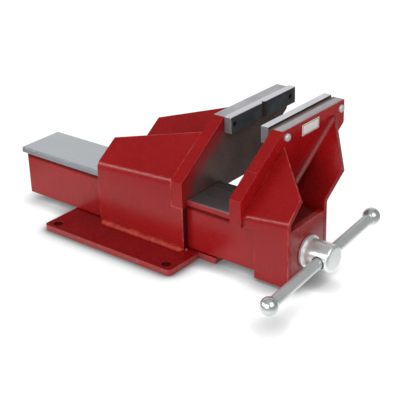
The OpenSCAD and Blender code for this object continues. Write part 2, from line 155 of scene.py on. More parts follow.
class WeldSettings(bpy.types.PropertyGroup):
    """Sizes of the weld beads."""

    foot_leg: FloatProperty(
        name="Foot leg", description="Leg of the beads along the wall feet",
        unit="LENGTH", subtype="DISTANCE", default=3.8 * MM)
    cheek_leg: FloatProperty(
        name="Cheek leg", description="Leg of the beads between the cheeks and the moving jaw",
        unit="LENGTH", subtype="DISTANCE", default=5.4 * MM)
    small_leg: FloatProperty(
        name="Small leg", description="Leg of the short beads",
        unit="LENGTH", subtype="DISTANCE", default=2.2 * MM)
    pitch: FloatProperty(
        name="Ripple pitch", description="Distance between the ripples of a bead",
        unit="LENGTH", subtype="DISTANCE", default=3.4 * MM)
    ripple: FloatProperty(
        name="Ripple", description="Height of the ripples as a share of the leg",
        subtype="FACTOR", min=0, max=1, default=0.06)
    seed: IntProperty(name="Seed", description="Seed of the bead's unevenness", default=3)


class ScrewSettings(bpy.types.PropertyGroup):
    """Sizes of the screw thread and the bolt heads."""

    pitch: FloatProperty(
        name="Pitch", description="Lead of the spindle thread",
        unit="LENGTH", subtype="DISTANCE", default=5 * MM)
    depth: FloatProperty(
        name="Depth", description="Depth of the spindle thread",
        unit="LENGTH", subtype="DISTANCE", default=2 * MM)
    rim: FloatProperty(
        name="Rim", description="Height of the upright rim of the bolt heads, as a share of the head",
        subtype="FACTOR", min=0, max=1, default=0.35)


class StageSettings(bpy.types.PropertyGroup):
    """The floor, light and camera."""

    floor: FloatVectorProperty(
        name="Floor", description="Colour of the floor", subtype="COLOR",
        size=3, min=0, max=1, default=(0.93, 0.93, 0.93))
    key_power: FloatProperty(
        name="Key power", description="Power of the key light in watts", default=19.0)
    fill_power: FloatProperty(
        name="Fill power", description="Power of the light ahead of the vise in watts", default=15.0)
    strip_power: FloatProperty(
        name="Strip power", description="Power of the narrow light on the left in watts", default=16.0)
    card_power: FloatProperty(
        name="Card power", description="Power of the pale card behind the vise in watts", default=13.5)
    sky: FloatProperty(name="Sky", description="Strength of the surrounding light", default=1.0)
    shadow_reach: FloatProperty(
        name="Shadow reach", description="Width of the soft shadow where the vise meets the floor",
        unit="LENGTH", subtype="DISTANCE", default=20 * MM)
    eye: FloatVectorProperty(
        name="Eye", description="Place of the camera", subtype="TRANSLATION", unit="LENGTH",
        size=3, default=(0.6199, -0.6744, 0.4606))
    azimuth: FloatProperty(
        name="Azimuth", description="Heading of the camera, 0 looking along +Y",
        subtype="ANGLE", unit="ROTATION", default=math.radians(39.685))
    elevation: FloatProperty(
        name="Elevation", description="Height angle of the camera",
        subtype="ANGLE", unit="ROTATION", default=math.radians(25.452))
    roll: FloatProperty(
        name="Roll", description="Roll of the camera",
        subtype="ANGLE", unit="ROTATION", default=math.radians(-1.86))
    focal_px: FloatProperty(
        name="Focal length", description="Focal length in pixels of the photograph", default=1058.2)


# Shader helpers


class NodeTree:
    """A node tree, with short calls for its nodes, links and sums."""

    def __init__(self, tree):
        self.tree = tree
        self.tree.nodes.clear()

    def add(self, kind, links=None, **values):
        node = self.tree.nodes.new(kind)
        for key, value in values.items():
            setattr(node, key, value)
        for key, value in (links or {}).items():
            self.put(node.inputs[key], value)
        return node

    def put(self, socket, value):
        if isinstance(value, bpy.types.NodeSocket):
            self.tree.links.new(value, socket)
        elif socket.type == "RGBA" and len(value) == 3:
            socket.default_value = (*value, 1.0)
        else:
            socket.default_value = value

    def math(self, operation, a, b=0.0):
        return self.add("ShaderNodeMath", {0: a, 1: b}, operation=operation).outputs[0]

    def mix(self, factor, a, b):
        return self.add("ShaderNodeMix", {"Factor": factor, 6: a, 7: b}, data_type="RGBA").outputs[2]


class Finish(NodeTree):
    """A material, with short calls for the nodes that the finishes share."""

    def __init__(self, name, shader="ShaderNodeBsdfPrincipled"):
        self.material = bpy.data.materials.new(name)
        self.material.use_nodes = True
        super().__init__(self.material.node_tree)
        self.shader = self.add(shader)
        self.add("ShaderNodeOutputMaterial", {"Surface": self.shader.outputs[0]})
        self.coord = self.add("ShaderNodeTexCoord").outputs["Object"]

    def set(self, **values):
        for key, value in values.items():
            self.put(self.shader.inputs[key.replace("_", " ")], value)

    def color(self):
        """The colour that the finish has so far."""
        return self.shader.inputs["Base Color"].links[0].from_socket

    def axis(self, index):
        return self.add("ShaderNodeSeparateXYZ", {0: self.coord}).outputs[index]

    def noise(self, scale, detail, **mapping):
        """A noise on the object's coordinates, which a Mapping node may stretch or shift first."""
        place = self.coord
        if mapping:
            place = self.add("ShaderNodeMapping", {"Vector": place, **mapping}).outputs[0]
        links = {"Vector": place, "Scale": scale, "Detail": detail}
        return self.add("ShaderNodeTexNoise", links).outputs["Fac"]

    def ramp(self, value, low, high, to_low=0.0, to_high=1.0, smooth=False):
        links = {"Value": value, "From Min": low, "From Max": high, "To Min": to_low, "To Max": to_high}
        way = "SMOOTHSTEP" if smooth else "LINEAR"
        return self.add("ShaderNodeMapRange", links, clamp=True, interpolation_type=way).outputs[0]

    def rough(self, scale, detail, low, high):
        """Roughness that wanders between two values."""
        self.set(Roughness=self.ramp(self.noise(scale, detail), NOISE_LOW, NOISE_HIGH, low, high))

    def relief(self, height, strength, distance):
        """A small relief, in the shading alone."""
        links = {"Height": height, "Strength": strength, "Distance": distance}
        self.set(Normal=self.add("ShaderNodeBump", links).outputs[0])

    def grain(self, scale, detail, strength, distance):
        """A relief of noise."""
        self.relief(self.noise(scale, detail), strength, distance)


def scaled(color, factor):
    """A colour times a factor, with each channel up to 1."""
    return tuple(min(1.0, channel * factor) for channel in color)


def paint_tones(finish, color):
    """The enamel's colour, a little uneven from cloud to cloud."""
    cloud = finish.ramp(finish.noise(26, 3), NOISE_LOW, NOISE_HIGH)
    return finish.mix(cloud, scaled(color, 0.9), scaled(color, 1.08))


def paint_skin(finish, roughness, gloss=GLOSS):
    """Gives a finish the roughness, orange peel and gloss of sprayed enamel, and returns its material."""
    wander, peel = 0.05, 0.025
    finish.rough(140, 3, roughness - wander, roughness + wander)
    finish.grain(420, 2, peel, 0.4 * MM)
    finish.set(Specular_IOR_Level=gloss)
    return finish.material


def red_enamel(settings, name, lightness=1.0, gloss=GLOSS):
    """Sprayed enamel, a lighter red as its lightness rises; some finishes use this for painted light or
    painted shade.
    """
    finish = Finish(name)
    finish.set(Base_Color=paint_tones(finish, scaled(settings.color, lightness)))
    return paint_skin(finish, settings.roughness, gloss)


def side_red(settings):
    """Enamel on the slide's sides, dull and darkened by painted shade in the corner under its top plate."""
    finish = Finish("side_red")
    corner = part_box("slide_side_near")[1].z
    lit_below, dark_above, dull = 4.5 * MM, 1.5 * MM, 0.05
    under = finish.ramp(finish.axis(2), corner - lit_below, corner - dark_above, smooth=True)
    # A band of darker red just under the top plate: painted shade of its overhang.
    dark = scaled(settings.color, 0.45)
    finish.set(Base_Color=finish.mix(under, paint_tones(finish, settings.color), dark))
    return paint_skin(finish, settings.roughness, finish.ramp(under, 0, 1, GLOSS, dull))


def inner_red(settings):
    """Enamel on the inside of the cheeks: a lighter red as painted light, darkened by painted shade towards
    the jaw plate and down towards the slide.
    """
    finish = Finish("inner_red")
    rear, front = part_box("moving_jaw_plate")[1].x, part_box("front_plate")[1].x
    foot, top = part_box("slide_top")[1].z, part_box("far_cheek")[1].z
    behind = finish.ramp(finish.axis(0), rear, rear + 0.6 * (front - rear), 1, 0, smooth=True)
    deep_shade_to, no_shade_from = (foot + share * (top - foot) for share in (0.3, 0.75))
    below = finish.ramp(finish.axis(2), deep_shade_to, no_shade_from, 1, 0, smooth=True)
    # Share of painted shade, deepest low down and near the jaw plate.
    painted_shading_share = finish.math("MULTIPLY", finish.math("MAXIMUM", behind, 0.5), below)
    painted_light_red = paint_tones(finish, scaled(settings.color, 1.4))
    finish.set(Base_Color=finish.mix(painted_shading_share, painted_light_red, scaled(settings.color, 0.2)))
    return paint_skin(finish, settings.roughness)


def red_edge(settings, steel, name, wear_and_highlight_from, wear_and_highlight_to, worn_and_highlight=(0.45, 0.11, 0.075)):
    """Enamel on a rounded edge, paler and lighter red as a noise rises from one value to another: partly
    paint wear and partly painted highlight, with chips of bare steel where the paint is gone.
    """
    finish = Finish(name)
    painted_shading_share = finish.ramp(finish.noise(95, 4), wear_and_highlight_from, wear_and_highlight_to)
    chips = finish.ramp(finish.noise(420, 4, Location=(0.3, 0.1, 0.7)), 0.66, 0.74)
    bare = finish.math("MULTIPLY", painted_shading_share, chips)
    # The paler red along the edge is painted highlight as well as wear.
    pale = finish.mix(painted_shading_share, scaled(settings.color, 1.35), worn_and_highlight)
    finish.set(Base_Color=finish.mix(bare, pale, scaled(steel.ground, 0.7)))
    finish.set(Metallic=finish.math("MULTIPLY", bare, 0.8))
    return paint_skin(finish, settings.roughness)


def weld_enamel(settings):
    """Enamel over a rough bead: a coarser, duller skin, with a lighter orange here and there that is partly
    paint wear and partly painted highlight.
    """
    finish = Finish("weld_enamel")
    # Lighter orange patches: painted highlight on the bead, partly wear.
    rubbed_and_highlight = finish.ramp(finish.noise(170, 4), 0.36, 0.7, 0.1, 0.8)
    finish.set(Base_Color=finish.mix(rubbed_and_highlight, paint_tones(finish, settings.color), (0.42, 0.05, 0.026)))
    finish.set(Specular_IOR_Level=GLOSS)
    finish.rough(240, 3, 0.42, 0.56)
    finish.grain(420, 3, 0.12, 0.5 * MM)
    return finish.material


def smooth_weld(settings):
    """Thick glossy enamel over a smooth bead."""
    finish = Finish("smooth_weld")
    finish.set(Base_Color=paint_tones(finish, scaled(settings.color, 0.9)))
    finish.set(Specular_IOR_Level=2 * GLOSS)
    finish.rough(200, 3, 0.3, 0.42)
    finish.grain(260, 3, 0.1, 0.5 * MM)
    return finish.material


def near_edge_depth(finish):
    """Distance on the fixed jaw face from its slanted near edge and its upright near side."""
    near_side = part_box("fixed_jaw_plate")[0].y
    (y0, z0), (y1, z1) = slanted_edge("fixed_jaw_plate")
    run = math.hypot(y1 - y0, z1 - z0)
    across = finish.math("MULTIPLY", finish.math("SUBTRACT", finish.axis(1), y0), (z1 - z0) / run)
    down = finish.math("MULTIPLY", finish.math("SUBTRACT", finish.axis(2), z0), (y1 - y0) / run)
    slant = finish.math("SUBTRACT", across, down)
    return finish.math("MINIMUM", slant, finish.math("SUBTRACT", finish.axis(1), near_side))


def mill_face(settings, steel):
    """Rolled steel of the fixed jaw face, with overspray along its near edge."""
    finish = Finish("mill_face")
    ragged, painted = 5 * MM, 5 * MM
    wander = finish.math("MULTIPLY", finish.noise(90, 4), ragged)
    depth = finish.math("ADD", near_edge_depth(finish), wander)
    bare = finish.ramp(depth, painted, painted + settings.overspray, smooth=True)
    scale = finish.ramp(finish.noise(34, 5), 0.35, 0.68)
    plate = finish.mix(scale, scaled(steel.mill, 0.75), scaled(steel.mill, 1.3))
    specks = finish.ramp(finish.noise(650, 3), 0.38, 0.66, 0.0, 0.55)
    plate = finish.mix(specks, plate, scaled(steel.mill, 0.45))
    finish.set(Base_Color=finish.mix(bare, scaled(settings.color, 0.9), plate))
    finish.set(Specular_IOR_Level=0.2)
    finish.rough(210, 4, 0.36, 0.52)
    finish.grain(300, 4, 0.08, 0.4 * MM)
    return finish.material


def dull_skin(finish):
    """Gives a finish the skin of unworked steel, and returns its material."""
    finish.set(Specular_IOR_Level=0.3)
    finish.rough(260, 3, 0.42, 0.6)
    finish.grain(380, 3, 0.15, 0.4 * MM)
    return finish.material


def dark_end(name, dark, light):
    """Dark faces of cut ends, holes and grooves, mottled between two colours."""
    finish = Finish(name)
    finish.set(Base_Color=finish.mix(finish.noise(120, 4), dark, light))
    return dull_skin(finish)


def stained_strip(settings, steel):
    """Strip behind the moving insert: the dark colour of mill steel as painted shade of its recess, with
    traces of red paint.
    """
    finish = Finish("stained_strip")
    traces = finish.ramp(finish.noise(150, 4), 0.45, 0.7, 0.0, 0.5)
    # Dark steel colour over the red strip: painted shade in the recess behind the insert.
    finish.set(Base_Color=finish.mix(traces, scaled(steel.mill, 0.7), scaled(settings.color, 0.5)))
    return dull_skin(finish)


def cut_steel(name, color, stretch, roughness, metal=0.95, depth=0.16, relief=0.1):
    """Steel with the fine lines that a grinder or a drawing die leaves along one way."""
    finish = Finish(name)
    wander = 0.07
    lines = finish.noise(1.0, 5, Scale=stretch)
    cloud = finish.noise(38, 3)
    tone = finish.math("ADD", finish.math("MULTIPLY", lines, 0.6), finish.math("MULTIPLY", cloud, 0.4))
    dark, light = scaled(color, 1 - depth), scaled(color, 1 + 0.6 * depth)
    finish.set(Base_Color=finish.mix(finish.ramp(tone, 0.32, 0.68), dark, light), Metallic=metal)
    finish.set(Roughness=finish.ramp(lines, NOISE_LOW, NOISE_HIGH, roughness - wander, roughness + wander))
    finish.relief(lines, relief, 0.2 * MM)
    return finish


def ground_steel(name, steel):
    """Steel of the jaw plates' tops, ground along the jaws."""
    return cut_steel(name, steel.ground, (900, 90, 900), 0.42, depth=0.34)


def moving_top(settings, steel):
    """Ground top of the moving jaw plate: stained dark along its rear edge, with paint dust over it."""
    finish = ground_steel("moving_top", steel)
    low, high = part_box("moving_jaw_plate")
    ragged, stain_fades, dust_fades = 1.2 * MM, (1.2 * MM, 2.6 * MM), (0.4 * MM, 3 * MM)
    wander = finish.math("MULTIPLY", finish.noise(120, 3), ragged)
    from_rear = finish.math("SUBTRACT", finish.math("SUBTRACT", finish.axis(0), low.x), wander)
    ground = finish.ramp(from_rear, *stain_fades)
    from_front = finish.math("SUBTRACT", high.x, finish.axis(0))
    dust = finish.ramp(finish.math("ADD", from_front, wander), *dust_fades, 0.75, 0.12)
    dusty = finish.mix(dust, finish.color(), settings.color)
    finish.set(Base_Color=finish.mix(ground, scaled(steel.mill, 0.8), dusty))
    finish.set(Metallic=finish.math("MULTIPLY", ground, 0.8))
    return finish.material


def part_painted(finish, color, start):
    """Puts enamel over a steel finish from a place along the slide forwards, with a ragged border."""
    ragged, border = 6 * MM, 6 * MM
    wander = finish.math("MULTIPLY", finish.noise(160, 3), ragged)
    red = finish.ramp(finish.math("ADD", finish.axis(0), wander), start, start + border)
    finish.set(Base_Color=finish.mix(red, finish.color(), color))
    metal = finish.shader.inputs["Metallic"].default_value
    finish.set(Metallic=finish.ramp(red, 0, 1, metal, 0))
    return finish.material


def slide_bright(settings, steel):
    """Top of the slide: drawn bright, and painted where it lies in the front box, in a red darkened as
    painted shade of the box.
    """
    finish = cut_steel("slide_bright", steel.slide, (9, 520, 400), 0.32, metal=0.96, depth=0.05, relief=0.02)
    finish.set(Specular_IOR_Level=0.2)
    under_plate = 4 * MM
    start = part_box("moving_jaw_plate")[0].x + under_plate
    # Red at four tenths inside the front box: painted shade.
    return part_painted(finish, scaled(settings.color, 0.4), start)


def slide_edge(settings, steel):
    """Side edge of the slide top: dull at the tail, sprayed red from the fixed jaw forwards."""
    finish = cut_steel("slide_edge", scaled(steel.slide, 0.6), (60, 900, 1400), 0.5)
    under_plate = 4 * MM
    return part_painted(finish, settings.color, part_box("fixed_jaw_plate")[1].x - under_plate)


def insert_face(steel):
    """Hardened insert: dark, with a fine crossed pattern for grip."""
    finish = Finish("insert_face")
    cloud = finish.ramp(finish.noise(70, 5), 0.32, 0.7)
    finish.set(Base_Color=finish.mix(cloud, scaled(steel.insert, 0.62), scaled(steel.insert, 1.3)))
    finish.set(Metallic=0.3, Specular_IOR_Level=0.25)
    finish.rough(300, 3, 0.42, 0.58)
    grip = 0.9 * MM
    rows = []
    for way in ("ADD", "SUBTRACT"):
        across = finish.math(way, finish.axis(1), finish.axis(2))
        rows.append(finish.math("SINE", finish.math("MULTIPLY", across, 2 * math.pi / grip)))
    finish.relief(finish.math("MULTIPLY", *rows), 0.12, 0.15 * MM)
    return finish.material


def zinc_plate(name, color, roughness, metal=0.72):
    """Bright zinc with a faint uneven bloom."""
    finish = Finish(name)
    bloom = finish.ramp(finish.noise(40, 2), 0.3, 0.72)
    finish.set(Base_Color=finish.mix(bloom, scaled(color, 0.94), scaled(color, 1.04)), Metallic=metal)
    finish.rough(55, 2, roughness - 0.02, roughness + 0.03)
    return finish


def head_zinc(steel):
    """Zinc on the spindle head and flange, with a dark ring of painted shade around each end of the cross
    hole.
    """
    finish = zinc_plate("head_zinc", scaled(steel.zinc, 1.25), 0.3, 0.75)
    ring_shade_to, ring_clear_from = 0.5 * MM, 1.6 * MM
    low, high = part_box("handle_bar")
    radius = (high.x - low.x) / 2
    height = sum(corner.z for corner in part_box("spindle_head")) / 2
    joints = frame["record"]["behaviour"]["joints"]
    _, level, rise = next(joint["axis"] for joint in joints if joint["name"] == "handle_slide")
    across = finish.math("SUBTRACT", finish.axis(0), low.x + radius)
    above = finish.math("MULTIPLY", finish.math("SUBTRACT", finish.axis(2), height), level)
    up = finish.math("SUBTRACT", above, finish.math("MULTIPLY", finish.axis(1), rise))
    squares = [finish.math("MULTIPLY", side, side) for side in (across, up)]
    off = finish.math("SQRT", finish.math("ADD", *squares))
    painted_shade_ring = finish.ramp(off, radius + ring_shade_to, radius + ring_clear_from, 1.0, 0.0)
    # Near black around the bar where it enters the head: painted shade of the gap.
    finish.set(Base_Color=finish.mix(painted_shade_ring, finish.color(), (0.03, 0.03, 0.032)))
    return finish.material


def jaw_bolt(steel):
    """Zinc on the jaw bolts, black on the tips inside the inserts as painted shade in the insert holes."""
    finish = zinc_plate("jaw_bolt", steel.zinc, 0.38)
    start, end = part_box("fixed_jaw_insert")[0].x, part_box("moving_jaw_insert")[1].x
    middle, half = (start + end) / 2, (end - start) / 2
    off = finish.math("ABSOLUTE", finish.math("SUBTRACT", finish.axis(0), middle))
    inside = finish.ramp(off, half - MM, half, 1.0, 0.0)
    # Black tips: painted shade where the bolts sit in the insert holes.
    finish.set(Base_Color=finish.mix(inside, finish.color(), (0.012, 0.012, 0.013)))
    finish.set(Metallic=finish.ramp(inside, 0, 1, 0.45, 0.0))
    return finish.material


def bronze_metal(steel):
    """Cast bronze, a little mottled."""
    finish = Finish("bronze")
    dark, light = scaled(steel.bronze, 0.75), scaled(steel.bronze, 1.15)
    finish.set(Base_Color=finish.mix(finish.noise(80, 4), dark, light), Metallic=1.0)
    finish.rough(260, 4, 0.3, 0.48)
    finish.grain(420, 3, 0.12, 0.3 * MM)
    return finish.material


def label_enamel():
    """Plain white plate with a thin dark line inside its rim."""
    finish = Finish("label_enamel")
    low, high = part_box("label_plate")
    middle, half = (low + high) / 2, (high - low) / 2
    line_in, line_wide = 0.9 * MM, 0.35 * MM
    insets = []
    for index in (1, 2):
        offset = finish.math("ABSOLUTE", finish.math("SUBTRACT", finish.axis(index), middle[index]))
        insets.append(finish.math("SUBTRACT", half[index], offset))
    inset = finish.math("MINIMUM", *insets)
    off_line = finish.math("ABSOLUTE", finish.math("SUBTRACT", inset, line_in))
    line = finish.ramp(off_line, line_wide / 2, line_wide, 1.0, 0.0)
    grime = finish.ramp(finish.noise(90, 2), 0.3, 0.75)
    white = finish.mix(grime, (0.84, 0.84, 0.82), (0.77, 0.765, 0.74))
    finish.set(Base_Color=finish.mix(line, white, (0.06, 0.055, 0.055)))
    finish.rough(320, 3, 0.26, 0.4)
    finish.grain(800, 2, 0.04, 0.2 * MM)
    return finish.material


FINISHES = {}


def finishes():
    """All finishes by name, made on first use."""
    if not FINISHES:
        scene = bpy.context.scene
        enamel, steel = scene.vise_enamel, scene.vise_steel
        insert_end = scaled(steel.ground, 0.32)
        FINISHES.update(
            red=red_enamel(enamel, "red_enamel"),
            # Lighter red on the moving jaw plate's front face: painted light where the cheeks keep the lamps
            # off it.
            front_red=red_enamel(enamel, "front_red", lightness=1.35),
            box_red=red_enamel(enamel, "box_red", gloss=0.45),
            foot_red=red_enamel(enamel, "foot_red", lightness=0.84, gloss=0.08),
            # Red darkened to a third on the walls of the base's bolt holes: painted shade.
            hole_red=red_enamel(enamel, "hole_red", lightness=0.3),
            side_red=side_red(enamel),
            # Paler edge colours: painted highlight, with some wear; on the base's upright sides they are
            # painted reflection of the floor.
            foot_edge=red_edge(enamel, steel, "foot_edge", 0.15, 0.6, (0.24, 0.038, 0.036)),
            red_edge=red_edge(enamel, steel, "red_edge", 0.42, 0.68),
            jaw_edge=red_edge(enamel, steel, "jaw_edge", 0.25, 0.46),
            inner=inner_red(enamel),
            weld=weld_enamel(enamel),
            smooth_weld=smooth_weld(enamel),
            mill=mill_face(enamel, steel),
            # The wall ends in the enamel red darkened to a tenth to a third.
            wall_end=dark_end("wall_end", scaled(enamel.color, 0.08), scaled(enamel.color, 0.3)),
            ground=ground_steel("ground_top", steel).material,
            moving_top=moving_top(enamel, steel),
            backing=stained_strip(enamel, steel),
            insert=insert_face(steel),
            groove=dark_end("groove", scaled(steel.mill, 0.25), scaled(steel.mill, 0.55)),
            insert_top=cut_steel("insert_top", scaled(steel.ground, 1.45), (1100, 110, 900), 0.38).material,
            insert_end=cut_steel("insert_end", insert_end, (700, 700, 160), 0.45, metal=0.2).material,
            slide=slide_bright(enamel, steel),
            slide_edge=slide_edge(enamel, steel),
            zinc=zinc_plate("zinc", steel.zinc, 0.24, 0.8).material,
            bar_zinc=zinc_plate("bar_zinc", steel.zinc, 0.36, 0.62).material,
            head_zinc=head_zinc(steel),
            bolt=jaw_bolt(steel),
            oiled=zinc_plate("oiled_steel", scaled(steel.zinc, 0.5), 0.34, 1.0).material,
            bronze=bronze_metal(steel),
            label=label_enamel(),
        )
    return FINISHES


# Mesh helpers


def slanted_edge(node):
    """The two ends of a jaw plate's slanted near edge, as (y, z)."""
    near_side, top_edge = MM, 0.1 * MM
    low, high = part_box(node)
    points = {(v.co.y, v.co.z) for v in frame["nodes"][node].data.vertices}
    corner = max(z for y, z in points if y < low.y + near_side)
    top = min(y for y, z in points if z > high.z - top_edge)
    return (low.y, corner), (top, high.z)


def turn(a, b, c):
    """More than 0 where the way from a over b to c turns left, and less where it turns right."""
    return (b[0] - a[0]) * (c[1] - b[1]) - (b[1] - a[1]) * (c[0] - b[0])


def outer_chain(node, x):
    """The line on the outside of a folded sheet's bend, where the plane at x cuts its end.

    Its points are (y, z), from its foot to its top.
    """
    on_plane, at_top, digits = 0.02 * MM, 0.05 * MM, 6
    points = sorted({
        (round(v.co.y, digits), round(v.co.z, digits))
        for v in frame["nodes"][node].data.vertices if abs(v.co.x - x) < on_plane
    })
    hull = []
    for point in points:
        while len(hull) > 1 and turn(hull[-2], hull[-1], point) >= 0:
            hull.pop()
        hull.append(point)
    top = max(z for y, z in points)
    chain = []
    for point in hull:
        chain.append(point)
        if point[1] > top - at_top:
            return chain
    raise RuntimeError(f"{node} has no outer line at x = {x}")


def add_object(name, data):
    """A new object in the scene."""
    thing = bpy.data.objects.new(name, data)
    bpy.context.scene.collection.objects.link(thing)
    return thing


def place(mesh, name, body, slot):
    """An object at the origin for a finished mesh, riding on a body."""
    piece = add_object(name, mesh)
    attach(piece, body)
    return piece


def evaluated_mesh(obj):
    """A plain mesh of what the object's modifiers make, with the working object removed."""
    bpy.context.view_layer.update()
    graph = bpy.context.evaluated_depsgraph_get()
    mesh = bpy.data.meshes.new_from_object(obj.evaluated_get(graph))
    old = obj.data
    bpy.data.objects.remove(obj)
    if old.users == 0:
        bpy.data.meshes.remove(old)
    return mesh


def mesh_of(shape, name):
    """The mesh of a bmesh, which is freed."""
    mesh = bpy.data.meshes.new(name)
    shape.to_mesh(mesh)
    shape.free()
    return mesh


def smooth_faces(mesh, sharp_from):
    """Shades a mesh smooth, apart from edges sharper than an angle in degrees."""
    mesh.polygons.foreach_set("use_smooth", [True] * len(mesh.polygons))
    mesh.set_sharp_from_angle(angle=math.radians(sharp_from))


def dress(node, looks, rounding, rule=None, segments=2):
    """Puts a copy of a node with rounded edges in its place, with the named finishes on its faces.

    The finishes come in the order of the material places. One alone is for faces and edges.
    """
    shape = bmesh.new()
    shape.from_mesh(frame["nodes"][node].data)
    bmesh.ops.remove_doubles(shape, verts=shape.verts, dist=MERGE)
    bmesh.ops.dissolve_limit(shape, angle_limit=FLAT_ANGLE, verts=shape.verts, edges=shape.edges)
    for face in shape.faces:
        face.smooth = True
        face.material_index = FACE
    mesh = mesh_of(shape, node + "_work")
    if len(looks) == 1:
        looks = looks * 2
    for look in looks:
        mesh.materials.append(finishes()[look])
    work = add_object(node + "_work", mesh)
    bevel = work.modifiers.new("rounding", "BEVEL")
    bevel.width = rounding
    bevel.segments = segments
    bevel.limit_method = "ANGLE"
    bevel.angle_limit = SHARP_ANGLE
    bevel.material = EDGE
    flat = work.modifiers.new("flat_faces", "WEIGHTED_NORMAL")
    flat.weight = 90
    mesh = evaluated_mesh(work)
    mesh.name = node + "_dressed"
    if rule:
        for face in mesh.polygons:
            face.material_index = rule(face.center, face.normal, face.material_index)
    piece = place(mesh, node + "_dressed", BODY_OF[node], SLOT_OF[node])
    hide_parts(node)
    return piece


def turn_normals(piece):
    """Gives the faces on the round of a piece turned about an X axis the true normals of its cylinder."""
    on_round, outward = 0.05 * MM, 0.95
    low, high = (Vector(corner) for corner in (piece.bound_box[0], piece.bound_box[6]))
    middle, radius = (low + high) / 2, (high.z - low.z) / 2
    mesh = piece.data
    normals = [corner.vector.copy() for corner in mesh.corner_normals]
    for face in mesh.polygons:
        for corner in face.loop_indices:
            out = mesh.vertices[mesh.loops[corner].vertex_index].co - middle
            out.x = 0
            if abs(out.length - radius) < on_round and face.normal.dot(out) > outward * radius:
                normals[corner] = out.normalized()
    mesh.normals_split_custom_set(normals)


def lathe(profile, segments):
    """A bmesh turned about Z from (radius, z) points."""
    shape = bmesh.new()
    points = [shape.verts.new((radius, 0, z)) for radius, z in profile]
    edges = [shape.edges.new(pair) for pair in zip(points, points[1:])]
    bmesh.ops.spin(shape, geom=points + edges, cent=(0, 0, 0), axis=(0, 0, 1),
                   angle=2 * math.pi, steps=segments, use_merge=True)
    bmesh.ops.remove_doubles(shape, verts=shape.verts, dist=MERGE)
    bmesh.ops.recalc_face_normals(shape, faces=shape.faces)
    return shape


# Geometry Nodes helpers


class Graph(NodeTree):
    """A Geometry Nodes tree with named inputs."""

    def __init__(self, name, inputs):
        super().__init__(bpy.data.node_groups.new(name, "GeometryNodeTree"))
        self.tree.is_modifier = True
        self.ids = {}
        for label, kind in inputs:
            socket = self.tree.interface.new_socket(label, in_out="INPUT", socket_type="NodeSocket" + kind)
            self.ids[label] = socket.identifier
        self.tree.interface.new_socket("Geometry", in_out="OUTPUT", socket_type="NodeSocketGeometry")
        self.input = self.add("NodeGroupInput")

    def named(self, label):
        return self.input.outputs[label]

    def finish(self, geometry):
        """Ends the tree in Realize Instances and Set Material."""
        real = self.add("GeometryNodeRealizeInstances", {"Geometry": geometry}).outputs[0]
        links = {"Geometry": real, "Material": self.named("Material")}
        done = self.add("GeometryNodeSetMaterial", links).outputs[0]
        self.add("NodeGroupOutput", {0: done})

    def run(self, mesh, values):
        """The plain mesh that the tree makes from a mesh and its input values."""
        work = add_object(mesh.name, mesh)
        modifier = work.modifiers.new("nodes", "NODES")
        modifier.node_group = self.tree
        for label, value in values.items():
            modifier[self.ids[label]] = value
        return evaluated_mesh(work)


def bead_graph():
    """A weld bead along each path, with ripples, an uneven edge and rounded ends."""
    steps, sides = 10.0, 20
    lump_scale, lumps, mean_size = 110.0, 0.5, 0.95
    end_size, end_curve = 0.12, 0.5
    graph = Graph("weld_bead", [
        ("Path", "Geometry"), ("Ripple Pitch", "Float"), ("Ripple", "Float"), ("Seed", "Float"),
        ("Material", "Material")])
    curve = graph.add("GeometryNodeMeshToCurve", {"Mesh": graph.named("Path")}).outputs[0]
    step = graph.math("DIVIDE", graph.named("Ripple Pitch"), steps)
    links = {"Curve": curve, "Length": step}
    curve = graph.add("GeometryNodeResampleCurve", links, mode="LENGTH").outputs[0]
    along = graph.add("GeometryNodeSplineParameter").outputs["Length"]
    whole = graph.add("GeometryNodeSplineLength").outputs["Length"]
    leg, rough = (
        graph.add("GeometryNodeInputNamedAttribute", {"Name": name}, data_type="FLOAT").outputs[0]
        for name in ("leg", "rough"))
    turns = graph.math("DIVIDE", along, graph.named("Ripple Pitch"))
    wave = graph.math("ABSOLUTE", graph.math("SINE", graph.math("MULTIPLY", turns, math.pi)))
    ripple = graph.math("MULTIPLY", wave, graph.math("MULTIPLY", graph.named("Ripple"), rough))
    position = graph.add("GeometryNodeInputPosition").outputs[0]
    links = {"Vector": position, "Scale": lump_scale, "Detail": 2.0, "W": graph.named("Seed")}
    uneven = graph.add("ShaderNodeTexNoise", links, noise_dimensions="4D").outputs[0]
    uneven = graph.math("SUBTRACT", uneven, 0.5)
    uneven = graph.math("MULTIPLY", uneven, graph.math("MULTIPLY", rough, lumps))
    to_end = graph.math("MINIMUM", along, graph.math("SUBTRACT", whole, along))
    taper = graph.math("MINIMUM", graph.math("ADD", graph.math("DIVIDE", to_end, leg), end_size), 1.0)
    taper = graph.math("POWER", taper, end_curve)
    size = graph.math("ADD", graph.math("ADD", ripple, uneven), mean_size)
    size = graph.math("MULTIPLY", graph.math("MULTIPLY", size, leg), taper)
    ring = graph.add("GeometryNodeCurvePrimitiveCircle", {"Resolution": sides, "Radius": 1.0}).outputs[0]
    links = {"Curve": curve, "Profile Curve": ring, "Scale": size, "Fill Caps": True}
    tube = graph.add("GeometryNodeCurveToMesh", links).outputs[0]
    graph.finish(graph.add("GeometryNodeSetShadeSmooth", {0: tube}).outputs[0])
    return graph


def bolt_graph():
    """A copy of one bolt on each point, all turned the same way."""
    graph = Graph("jaw_bolts", [
        ("Points", "Geometry"), ("Bolt", "Object"), ("Turn", "Vector"), ("Material", "Material")])
    bolt = graph.add("GeometryNodeObjectInfo", {"Object": graph.named("Bolt")}).outputs["Geometry"]
    turned = graph.add("FunctionNodeEulerToRotation", {0: graph.named("Turn")}).outputs[0]
    links = {"Points": graph.named("Points"), "Instance": bolt, "Rotation": turned}
    graph.finish(graph.add("GeometryNodeInstanceOnPoints", links).outputs[0])
    return graph


# Pieces


